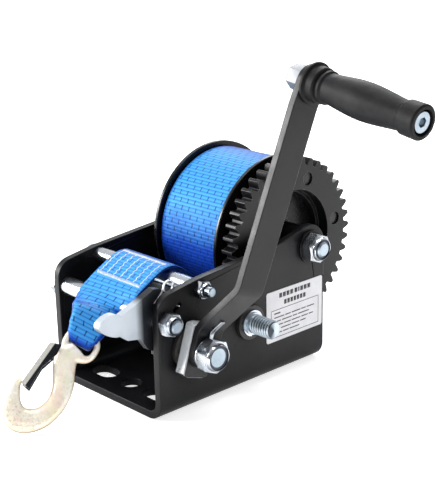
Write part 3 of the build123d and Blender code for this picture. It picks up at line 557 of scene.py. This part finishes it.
def hex_profile(apothem, height, bore, angle, turn):
    """Half section of a hexagon with its corners cut by a cone at both ends, at one angle."""
    corner = hexagon(apothem, angle, turn)
    cone = apothem * 0.97
    cut = max(0.0, corner - cone) * tan(radians(32))
    return [(0, bore), (0, cone), (cut, corner), (height - cut, corner), (height, cone)]


# Faces of the nylon ring, counted along a lock nut's section.
NYLON_FACES = (10, 11, 12)


def lock_nut(name, origin, across, height, collar, bore, turn, body, node_name):
    """A hexagon with a rolled collar above it, which holds a nylon ring round the bore."""
    apothem, rim = across / 2, across * 0.44

    def section(angle):
        base = hex_profile(apothem, height, bore, angle, turn)
        top = height + collar
        return base + [(height, rim + 0.4), (height + 0.25, rim), (top - collar * 0.45, rim - 0.05),
                       (top - collar * 0.12, rim - collar * 0.16), (top, bore + (rim - bore) * 0.74),
                       (top - 0.15, bore + (rim - bore) * 0.64), (top - 0.9, bore + (rim - bore) * 0.6),
                       (top - 1.0, bore - 0.4), (top - 1.4, bore)]

    points, faces = lathe(section, origin)
    count = len(section(0))
    slots = [1 if i % count in NYLON_FACES else 0 for i in range(len(faces))]
    made = piece(name, points, faces, body, [zinc, nylon], radians(28), face_slots=slots)
    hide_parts(node_name)


TAB_TOP = ARM_SEAT + ARM_THICK + TAB_THICK
lock_nut("front_lock_nut", (PLATE_OUT, *FRONT_TIE), 13, 5.6, 2.4, 4.0, radians(12), "root", "front_tie_nut")
lock_nut("rear_lock_nut", (PLATE_OUT, *REAR_TIE), 10, 4.4, 1.6, 3.0, radians(20), "root", "rear_tie_nut")
lock_nut("axle_lock_nut", (PLATE_OUT + AXLE_WASHER, *DRUM_AXLE), 17, 7.4, 2.6, 5.0, radians(8), "root",
         "drum_axle_nut")
lock_nut("crank_lock_nut", (TAB_TOP, *CRANK_SHAFT), 19, 7.2, 2.6, 6.0, radians(6), "crank", "crank_nut")


def hex_bolt(name, centre, start, end, radius, across, head, node_name):
    """A bolt along +X: its domed hexagon head is on the -X side, its end is chamfered."""
    apothem = across / 2

    def section(angle):
        corner = hexagon(apothem, angle, radians(30))
        cone = apothem * 0.96
        cut = max(0.0, corner - cone) * tan(radians(30))
        return [(end, 0.01), (end, radius * 0.78), (end - radius * 0.2, radius), (start, radius),
                (start, apothem * 0.98), (start, corner), (start - head + cut, corner),
                (start - head, cone), (start - head, apothem * 0.74),
                (start - head + 0.35, apothem * 0.66), (start - head + 0.35, 0.01)]

    points, faces = lathe(section, (0, *centre))
    made = piece(name, points, faces, "root", [shaft_zinc], radians(28))
    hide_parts(node_name)


hex_bolt("front_bolt", FRONT_TIE, -PLATE_OUT, PLATE_OUT + 9.6, 4.0, 13, 5.3, "front_tie_bolt")
hex_bolt("rear_bolt", REAR_TIE, -PLATE_OUT, PLATE_OUT + 10.5, 3.0, 10, 4.0, "rear_tie_bolt")
hex_bolt("axle_bolt", DRUM_AXLE, -PLATE_OUT - AXLE_WASHER, PLATE_OUT + 12.6, 5.0, 17, 6.4, "drum_axle_bolt")


# ----------------------------------------------------------------------- shafts
def threaded_shaft(centre, steps=72):
    """The countershaft along +X: circlip grooves at both plates, then a shoulder and a thread."""
    plain = [(-55, 0.01), (-55, 6.4), (-54.4, 7), (-53.3, 7), (-53.3, 6.4), (-52.1, 6.4), (-52.1, 7),
             (52.1, 7), (52.1, 6.4), (53.3, 6.4), (53.3, 7), (54.5, 7), (54.6, 6.0)]
    start, end, radius, chamfer = 54.61, 71.0, 6.0, 1.4
    pitch = THREAD_PITCH
    depth = 0.6 * pitch
    per_pitch = 8
    count = int(ceil((end - start) / pitch * per_pitch))
    loops = []
    for i in range(steps):
        angle = 2 * pi * i / steps
        out = (cos(angle), sin(angle))
        section = list(plain)
        for j in range(count + 1):
            x = start + (end - start) * j / count
            phase = (x / pitch - i / steps) % 1.0
            crest = abs(phase - 0.5) * 2
            groove = depth * max(0.0, min(1.0, (crest - 0.15) / 0.7))
            run_in = min(1.0, max(0.0, (x - start - 0.2) / pitch))
            bevel = max(0.0, x - (end - chamfer)) * 0.8
            section.append((x, min(radius - groove * run_in, radius - bevel)))
        section.append((end, 0.01))
        loops.append([(x, centre[0] + out[0] * r, centre[1] + out[1] * r) for x, r in section])
    points, faces = rings(loops, closed=True)
    made = piece("threaded_countershaft", points, faces, "countershaft", [thread_zinc], radians(40))
    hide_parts("countershaft")


threaded_shaft(COUNTERSHAFT)


# ----------------------------------------------------------------------- springs
def strand(path, radius, sides, hint):
    """Points and faces of a round strand along a list of points, without twist."""
    loops = []
    for i, p in enumerate(path):
        ahead = Vector(path[min(i + 1, len(path) - 1)]) - Vector(path[max(i - 1, 0)])
        first, second = frame_of(ahead, hint)
        hint = first
        loop = []
        for k in range(sides):
            out = first * cos(2 * pi * k / sides) + second * sin(2 * pi * k / sides)
            loop.append(tuple(Vector(p) + out * radius))
        loops.append(loop)
    return rings(loops, caps=True)


def spring_wire(name, path, radius, body, node_name):
    points, faces = strand(path, radius, 8, (0.3, 0.2, 0.9))
    made = piece(name, points, faces, body, [wire_zinc], radians(50))
    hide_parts(node_name)
    return made


def smooth_path(points, per_span):
    """A smooth Catmull-Rom curve through the points."""
    points = [Vector(p) for p in points]
    out = []
    for i in range(len(points) - 1):
        a, b, c, d = (points[max(i - 1, 0)], points[i], points[i + 1], points[min(i + 2, len(points) - 1)])
        for k in range(per_span):
            t = k / per_span
            out.append(tuple(0.5 * ((2 * b) + (c - a) * t + (2 * a - 5 * b + 4 * c - d) * t * t
                                    + (3 * b - a - 3 * c + d) * t ** 3)))
    out.append(tuple(points[-1]))
    return out


def pawl_spring():
    """A torsion spring inside the right plate: one leg on the pawl, the other through the plate."""
    coil, coil_radius, turns, steps = (-56.2, 80.0), 3.7, 2.6, 60
    inner, outer, wire = PLATE_IN - 1.8, PLATE_IN - 0.5, 0.5
    helix = []
    for i in range(steps + 1):
        angle = pi + 2 * pi * turns * i / steps
        x = inner + (outer - inner) * i / steps
        helix.append((x, coil[0] + coil_radius * cos(angle), coil[1] + coil_radius * sin(angle)))
    leg = smooth_path([(42.9, -66.6, 72.2), (42.9, -64.0, 74.3), (42.92, -60.6, 77.6), helix[0]], 5)[:-1]
    last = helix[-1]
    out_leg = smooth_path([last, (44.25, -53.0, 75.0), (44.3, -54.1, 70.0), (46.0, -54.1, 69.3),
                           (50.3, -54.1, 69.3)], 6)[1:]
    spring_wire("torsion_spring", leg + helix + out_leg, wire, "root", "pawl_spring")


pawl_spring()

# ------------------------------------------------------------------------- label
def label():
    """Sticker with a printed border, bars and lines that stand for its wording."""
    top = PLATE_OUT + 0.31
    low, high, left, right, line = 26.4, 44.6, 21.6, 64.8, 0.4
    bars = []

    def bar(y0, z0, y1, z1):
        outline = ((y0, z0), (y1, z0), (y1, z1), (y0, z1))
        corners = [(x, y, z) for x in (top - 0.2, top + 0.02) for y, z in outline]
        sides = [(i, i + 4, (i + 1) % 4 + 4, (i + 1) % 4) for i in range(4)]
        bars.append((corners, [(0, 1, 2, 3), (7, 6, 5, 4)] + sides))

    def row(y, z, height, widths, gap):
        for width in widths:
            bar(y, z, y + width, z + height)
            y += width + gap

    row(29.0, 52.2, 3.0, [2.6, 2.6, 2.6, 2.6, 0, 2.6, 1.2, 2.6, 2.6, 2.6], 0.7)
    row(33.4, 47.0, 3.0, [2.2, 2.2, 2.2, 2.2, 2.2, 2.2, 2.2], 0.7)
    for z in (high, low):
        bar(left, z, right + line, z + line)
    for y in (left, right):
        bar(y, low, y + line, high + line)
    row(24.5, 42.0, 0.9, [5.5], 1)
    for i, widths in enumerate(([9, 5, 8, 4, 7], [6, 9, 4, 10], [8, 6, 8, 6, 4], [5, 9, 7, 5], [7, 5, 9])):
        row(24.5, 39.4 - 2.6 * i, 0.7, widths, 0.9)
    made = piece("label_print", *joined(bars), "root", [label_ink], None)


label()

# -------------------------------------------------------------------- strap roll
WEBBING_THICK, WINDING_GAP = 1.25, 0.045
ROLL_RADIUS, ROLL_BORE = 51.5, 18.2
ROLL_LEFT, ROLL_WIDTH = -33.9, 52.0
ROLL_END, STEPS_PER_TURN = radians(232), 80
# Places across the strap, and how far its face is pulled in there.
ROLL_SECTION = ((0, 0.35), (0.5, 0.0), (4, 0), (20, 0.06), (33, 0.06), (48, 0), (51.5, 0.0), (52, 0.35))


def ribbon(name, stations, body):
    """A strap from stations of (front points, back points, distance along it)."""
    loops, uvs = [], []
    for front, back, along in stations:
        width = 0.0
        spans = [0.0]
        for a, b in zip(front, front[1:]):
            width += (Vector(b) - Vector(a)).length
            spans.append(width)
        loops.append(front + back[::-1])
        uvs.extend([(s * MM, along * MM) for s in spans] + [(s * MM, along * MM) for s in spans[::-1]])
    points, faces = rings(loops, caps=True)
    made = piece(name, points, faces, body, [blue_webbing], radians(40), uv=uvs)
    return made


def roll():
    """The wound strap: one spiral from the drum core to the outside."""
    half = WEBBING_THICK / 2
    pitch = WEBBING_THICK + WINDING_GAP
    last = ROLL_RADIUS - half
    turns = (last - ROLL_BORE - half) / pitch
    steps = int(turns * STEPS_PER_TURN)
    stations, along = [], 0.0
    for i in range(steps + 1):
        share = i / steps
        radius = last - (1 - share) * turns * pitch
        angle = ROLL_END - 2 * pi * turns * (1 - share)
        wander = 0.25 * sin(angle * 0.37 + 1.0) + 0.15 * sin(angle * 1.3)
        ripple = 0.10 * sin(angle * 5 + radius) * share
        front, back = [], []
        for across, pull in ROLL_SECTION:
            x = ROLL_LEFT + 0.15 + across * (ROLL_WIDTH - 0.3) / 52 + wander * 0.5
            r_out, r_in = radius + half - pull + ripple, radius - half + min(pull, 0.3) + ripple
            front.append((x, DRUM_AXLE[0] + r_out * cos(angle), DRUM_AXLE[1] + r_out * sin(angle)))
            back.append((x, DRUM_AXLE[0] + r_in * cos(angle), DRUM_AXLE[1] + r_in * sin(angle)))
        stations.append((front, back, along))
        along += radius * 2 * pi * turns / steps
    made = ribbon("wound_strap", stations, "drum")
    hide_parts("strap_roll")


roll()

# -------------------------------------------------------------------- strap tail
def on_hook(x, y, z=0.0):
    """A point given in the hook's own axes."""
    return HOOK_ORIGIN + HOOK_RIGHT * x + HOOK_UP * y + HOOK_NORMAL * z


EYE_BAR = (2.6, 6.6)
TAIL_WIDTH = 46.0
TAIL_X, ROLL_X = 0.5, -7.9
TANGENT = (24.5, 38.7)
WRAP_STEPS = 21
# The strap turns from level into the hook's plane over this length, which ends before the bar.
TURN_BEFORE, TURN_LENGTH = 32, 30
DOUBLED_FROM = 70
# Steps of (millimetres past the eye's bar, value): how far the edges are folded under, in
# degrees, how wide the middle stays flat to each side, and how much the middle is crowned.
FLAP_STEPS = [(-26, 0), (-9, 140), (0, 172), (60, 172)]
FLAT_STEPS = [(-26, 19), (-9, 10.6), (0, 9.2), (7, 7.6), (12, 5.6), (20, 5.6), (30, 7.4)]
CROWN_STEPS = [(-30, 0), (-18, 1), (-9, 0.6), (2, 0.4), (60, 0.3)]


def ease(t):
    """A smooth step from 0 to 1."""
    t = max(0.0, min(1.0, t))
    return t * t * (3 - 2 * t)


def between(value, steps):
    """A smooth curve through (place, height) steps."""
    for (a, low), (b, high) in zip(steps, steps[1:]):
        if value <= b:
            return low + (high - low) * ease((value - a) / (b - a))
    return steps[-1][1]


def tail_path():
    """Stations along the strap from the roll to behind the eye's bar: centre, across, out."""
    centres = [Vector((ROLL_X, TANGENT[0], TANGENT[1])),
               Vector((ROLL_X * 0.6 + TAIL_X * 0.4, 2.0, 56.2)),
               Vector((TAIL_X - 0.6, -20.0, 73.2)),
               Vector((TAIL_X, -29.5, 80.2)),
               Vector((TAIL_X, -37.5, 82.3)),
               Vector((TAIL_X, -45.0, 80.8)),
               Vector((TAIL_X, -53.0, 76.9)),
               Vector((TAIL_X, -61.5, 72.2)),
               Vector((TAIL_X + 0.4, -68.6, 67.2)),
               Vector((TAIL_X + 1.4, -75.0, 62.8)),
               on_hook(0.6, 19.5, 5.4), on_hook(0.8, 13.0, 6.4)]
    path = [Vector(p) for p in smooth_path(centres, 12)]
    for k in range(1, WRAP_STEPS + 1):
        angle = radians(38 - 11.6 * k)
        path.append(on_hook(0.8 + 0.06 * k, EYE_BAR[1] + 8.0 * sin(angle), 6.5 * cos(angle)))
    path.append(path[-1] + HOOK_UP * 2.6 - HOOK_NORMAL * 0.3)
    out = []
    along = 0.0
    for i, p in enumerate(path):
        if i:
            along += (p - path[i - 1]).length
        ahead = (path[min(i + 1, len(path) - 1)] - path[max(i - 1, 0)]).normalized()
        out.append([p, ahead, along])
    bar_start = out[-WRAP_STEPS - 1][2]
    stations = []
    for p, ahead, along in out:
        turn = ease((along - (bar_start - TURN_BEFORE)) / TURN_LENGTH)
        across = Vector(X_AXIS) * (1 - turn) + HOOK_RIGHT * turn
        across = (across - ahead * across.dot(ahead)).normalized()
        stations.append((p, across, ahead.cross(across), along))
    return stations, bar_start


def fold_section(flat, flap_angle, width):
    """Half of a section: flat to begin with, then a flap turned under by flap_angle.

    Points are (across, out, normal across, normal out)."""
    count, turn_radius = 26, 1.5
    half = [(0.0, 0.0, 0.0, 1.0)]
    a = b = 0.0
    step = width / 2 / count
    bend = max(turn_radius * flap_angle, 1.0)
    for i in range(count):
        share = (i + 0.5) * step - flat
        angle = flap_angle * max(0.0, min(1.0, share / bend))
        a += cos(angle) * step
        b -= sin(angle) * step
        half.append((a, b, sin(angle), cos(angle)))
    return half


def tail():
    """The strap's end: doubled and sewn over the ties, then folded narrow through the eye."""
    path, bar_start = tail_path()
    stations = []
    for p, across, out, along in path:
        to_bar = along - bar_start
        flap = radians(between(to_bar, FLAP_STEPS))
        flat = between(to_bar, FLAT_STEPS)
        curl = between(to_bar, CROWN_STEPS)
        doubled = ease((along - DOUBLED_FROM) / 3) * (1 - ease((to_bar + 4) / 6))
        half_thick = WEBBING_THICK / 2 * (1 + doubled)
        half = fold_section(flat, flap, TAIL_WIDTH)
        front, back = [], []
        wave = 0.3 * sin(along * 0.11) * (1 - flap / pi)
        last = len(half) - 1
        for sign in (-1, 1):
            sequence = list(range(last, -1, -1)) if sign < 0 else list(range(1, last + 1))
            for k in sequence:
                a, b, na, nb = half[k]
                stagger = 1.3 * (flap / pi) * ease((k / last - 0.35) / 0.2) if sign > 0 else 0.0
                thin = 0.45 if k == last else 1.0
                crown = -curl * (a / 12) ** 2 * 1.4
                base = p + across * (sign * a) + out * (b * 0.95 - stagger + wave + crown)
                lean = across * (sign * na) + out * nb
                front.append(tuple(base + lean * half_thick * thin))
                back.append(tuple(base - lean * half_thick * thin))
        stations.append((front, back, along))
    made = ribbon("strap_end", stations, "root")
    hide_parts("strap_tail")
    return stations, path


TAIL, TAIL_LINE = tail()


def on_tail(along, share, lift):
    """A point on the strap's front: along in millimetres, share from -1 to 1 across it."""
    index = next((i for i, s in enumerate(TAIL) if s[2] >= along), len(TAIL) - 1)
    before, after = TAIL[max(index - 1, 0)], TAIL[index]
    t = (along - before[2]) / max(after[2] - before[2], 1e-6)
    position = (share + 1) / 2 * (len(after[0]) - 1)
    k = min(int(position), len(after[0]) - 2)
    f = position - k

    def surface(station):
        return Vector(station[0][k]) * (1 - f) + Vector(station[0][k + 1]) * f

    low, high = surface(before), surface(after)
    across = Vector(after[0][k + 1]) - Vector(after[0][k])
    out = across.cross(high - low).normalized()
    return low * (1 - t) + high * t + out * lift


def stitches():
    """White lock stitching: two dense bars and wavering lines between them."""
    upper_y, lower_y, radius = -36.5, -57.0, 0.40
    upper = next(along for p, _, _, along in TAIL_LINE if p.y < upper_y)
    lower = next(along for p, _, _, along in TAIL_LINE if p.y < lower_y)
    runs = []

    def zigzag(start, end, count, amplitude, offset):
        """Points (share across, along) that swing to both sides of a straight line."""
        path = []
        for i in range(count + 1):
            t = i / count
            share = start[0] + (end[0] - start[0]) * t
            along = start[1] + (end[1] - start[1]) * t
            swing = amplitude * (1 if i % 2 else -1)
            path.append((share + swing * offset[0], along + swing * offset[1]))
        return path

    # Each bar is two rows of dense zigzag, and seven lines run from one bar to the other.
    for level in (upper, lower):
        runs.append(zigzag((-0.9, level), (0.86, level + 0.6), 74, 0.75, (0, 1)))
        runs.append(zigzag((-0.88, level + 1.0), (0.88, level + 1.5), 60, 0.5, (0, 1)))
    for i in range(7):
        share = -0.84 + 0.275 * i
        swing = 0.016 + 0.004 * (i % 3)
        runs.append(zigzag((share, upper + 0.8), (share + 0.02, lower - 0.8), 12, swing, (1, 0)))
    strands = []
    for run in runs:
        path = [on_tail(along, share, 0.12) for share, along in run]
        strands.append(strand(path, radius, 6, (0.2, 0.3, 0.9)))
    made = piece("stitching", *joined(strands), "root", [thread_white], radians(60))


stitches()


# -------------------------------------------------------------------------- hook
def superellipse(step, count, power):
    """A point on a unit superellipse, at one of count steps round it."""
    angle = 2 * pi * step / count
    c, s = cos(angle), sin(angle)
    return abs(c) ** (2 / power) * (1 if c >= 0 else -1), abs(s) ** (2 / power) * (1 if s >= 0 else -1)


def swept(stations, closed=False, power=2.5, sides=28):
    """A body of rounded sections in the hook's plane from (x, y, half width, half depth)."""
    loops = []
    count = len(stations)
    for i, (x, y, wide, deep) in enumerate(stations):
        if closed:
            before, after = stations[i - 1], stations[(i + 1) % count]
        else:
            before, after = stations[max(i - 1, 0)], stations[min(i + 1, count - 1)]
        ahead = Vector((after[0] - before[0], after[1] - before[1])).normalized()
        side = HOOK_RIGHT * ahead.y - HOOK_UP * ahead.x
        loop = []
        for k in range(sides):
            a, b = superellipse(k, sides, power)
            loop.append(tuple(on_hook(x, y) + side * (a * wide) + HOOK_NORMAL * (b * deep)))
        loops.append(loop)
    return rings(loops, closed=closed, caps=not closed)


SHANK = [
    (1.8, -3.5, 5.6, 3.2), (0.6, -7.0, 6.4, 4.0), (-1.2, -11.0, 6.8, 4.5), (-0.2, -15.6, 6.9, 4.7),
    (2.2, -20.6, 6.6, 4.8), (5.0, -26.2, 6.3, 4.8), (6.9, -33.5, 5.8, 4.8), (6.5, -41.4, 5.7, 4.8),
    (3.8, -48.4, 6.1, 4.8), (-1.2, -53.6, 6.9, 4.8), (-7.2, -56.0, 7.6, 4.8), (-12.6, -54.0, 7.0, 4.8),
    (-16.6, -48.8, 5.5, 4.7), (-18.6, -42.6, 3.9, 4.4), (-19.1, -39.0, 2.9, 3.9),
    (-19.2, -36.6, 2.5, 3.3), (-19.2, -35.3, 1.9, 2.5), (-19.2, -34.7, 0.8, 1.2),
]


def eye_ring(half_wide=9.4, half_tall=7.5, count=64):
    """Stations round the hook's eye, whose bar is thicker at the top and the bottom."""
    stations = []
    for i in range(count):
        x, y = superellipse(i, count, 2.6)
        wide = 1.9 + 0.9 * abs(sin(2 * pi * i / count)) ** 3
        stations.append((EYE_BAR[0] + half_wide * x, EYE_BAR[1] - half_tall + half_tall * y, wide, 3.0))
    return stations


def hook():
    """The forged hook: a swept shank and eye, run into one skin and smoothed."""
    body = swept(smooth_path(SHANK, 5))
    eye = swept(eye_ring(), closed=True, power=2.2)
    made = piece("forged_hook", *joined([body, eye]), None, [yellow_zinc], None)
    remesh = made.modifiers.new("remesh", "REMESH")
    remesh.mode = "VOXEL"
    remesh.voxel_size = 0.00055
    soft = made.modifiers.new("soft", "SMOOTH")
    soft.factor = 0.5
    soft.iterations = 9
    graph = bpy.context.evaluated_depsgraph_get()
    final = bpy.data.meshes.new_from_object(made.evaluated_get(graph))
    made.modifiers.clear()
    made.data = final
    final.shade_smooth()
    final.materials.clear()
    final.materials.append(yellow_zinc)
    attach(made, "hook")
    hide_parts("hook_body")


hook()


def latch_spring():
    """A bent wire from the hook's neck to the back of the latch."""
    root, end = on_hook(-9.2, -18.2), on_hook(-13.1, -26.0)
    path = smooth_path([on_hook(-8.4, -17.2), root, on_hook(-11.4, -21.8), end], 6)
    made = spring_wire("latch_wire", path, 0.4, None, "latch_spring")
    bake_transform(made)


latch_spring()


# ------------------------------------------------------------------------- stage
def light(name, location, target, size, power):
    """A rectangular softbox; size is its width and height in metres."""
    data = bpy.data.lights.new(name, "AREA")
    data.energy = power
    data.shape = "RECTANGLE"
    data.size, data.size_y = size
    made = bpy.data.objects.new(name, data)
    scene.collection.objects.link(made)
    made.location = location
    made.rotation_euler = (Vector(target) - Vector(location)).to_track_quat("-Z", "Y").to_euler()


def floor():
    """A white ground under the winch, which reaches far out on all sides."""
    material, tree, shader, coords = start_material("floor")
    set_inputs(tree, shader, color=(0.92, 0.92, 0.92), rough=0.9, spec=0.1, glow=(1.0, 1.0, 1.0),
               glow_strength=0.72, normal=bump(tree, noise(tree, coords, 40, 2), 0.02, 0.0005))
    reach = 90
    corners = [(-reach, -reach, 0), (reach, -reach, 0), (reach, reach, 0), (-reach, reach, 0)]
    mesh = bpy.data.meshes.new("floor")
    mesh.from_pydata(corners, [], [(0, 1, 2, 3)])
    mesh.materials.append(material)
    made = bpy.data.objects.new("floor", mesh)
    made.location.z = cad_low.z - 0.0002
    scene.collection.objects.link(made)


def world():
    """White behind the object and above it, darker on the side that the camera stands on."""
    made = bpy.data.worlds.new("studio")
    scene.world = made
    made.use_nodes = True
    tree = made.node_tree
    background = tree.nodes["Background"]
    place = node(tree, "TexCoord").outputs["Generated"]
    front = dot(tree, place, (0.74, -0.66, -0.10))
    shade = ramp(tree, front, -0.45, 0.75, 0.95, 0.11)
    background.inputs["Strength"].default_value = 0.8
    blue = maths(tree, "MULTIPLY", shade, 1.03)
    colour = node(tree, "CombineXYZ", {0: shade, 1: shade, 2: blue}).outputs[0]
    tree.links.new(colour, background.inputs["Color"])


floor()
world()
light("key", (-0.85, -0.95, 0.50), (0, 0, 0.08), (0.62, 0.5), 24)
light("top", (-0.15, 0.1, 1.3), (0, 0, 0.08), (0.8, 0.8), 9)
light("fill", (1.0, -0.9, 0.5), (0, 0, 0.08), (0.35, 0.35), 1.6)
light("rim", (-0.6, 0.8, 0.8), (0, 0, 0.1), (0.5, 0.5), 6)
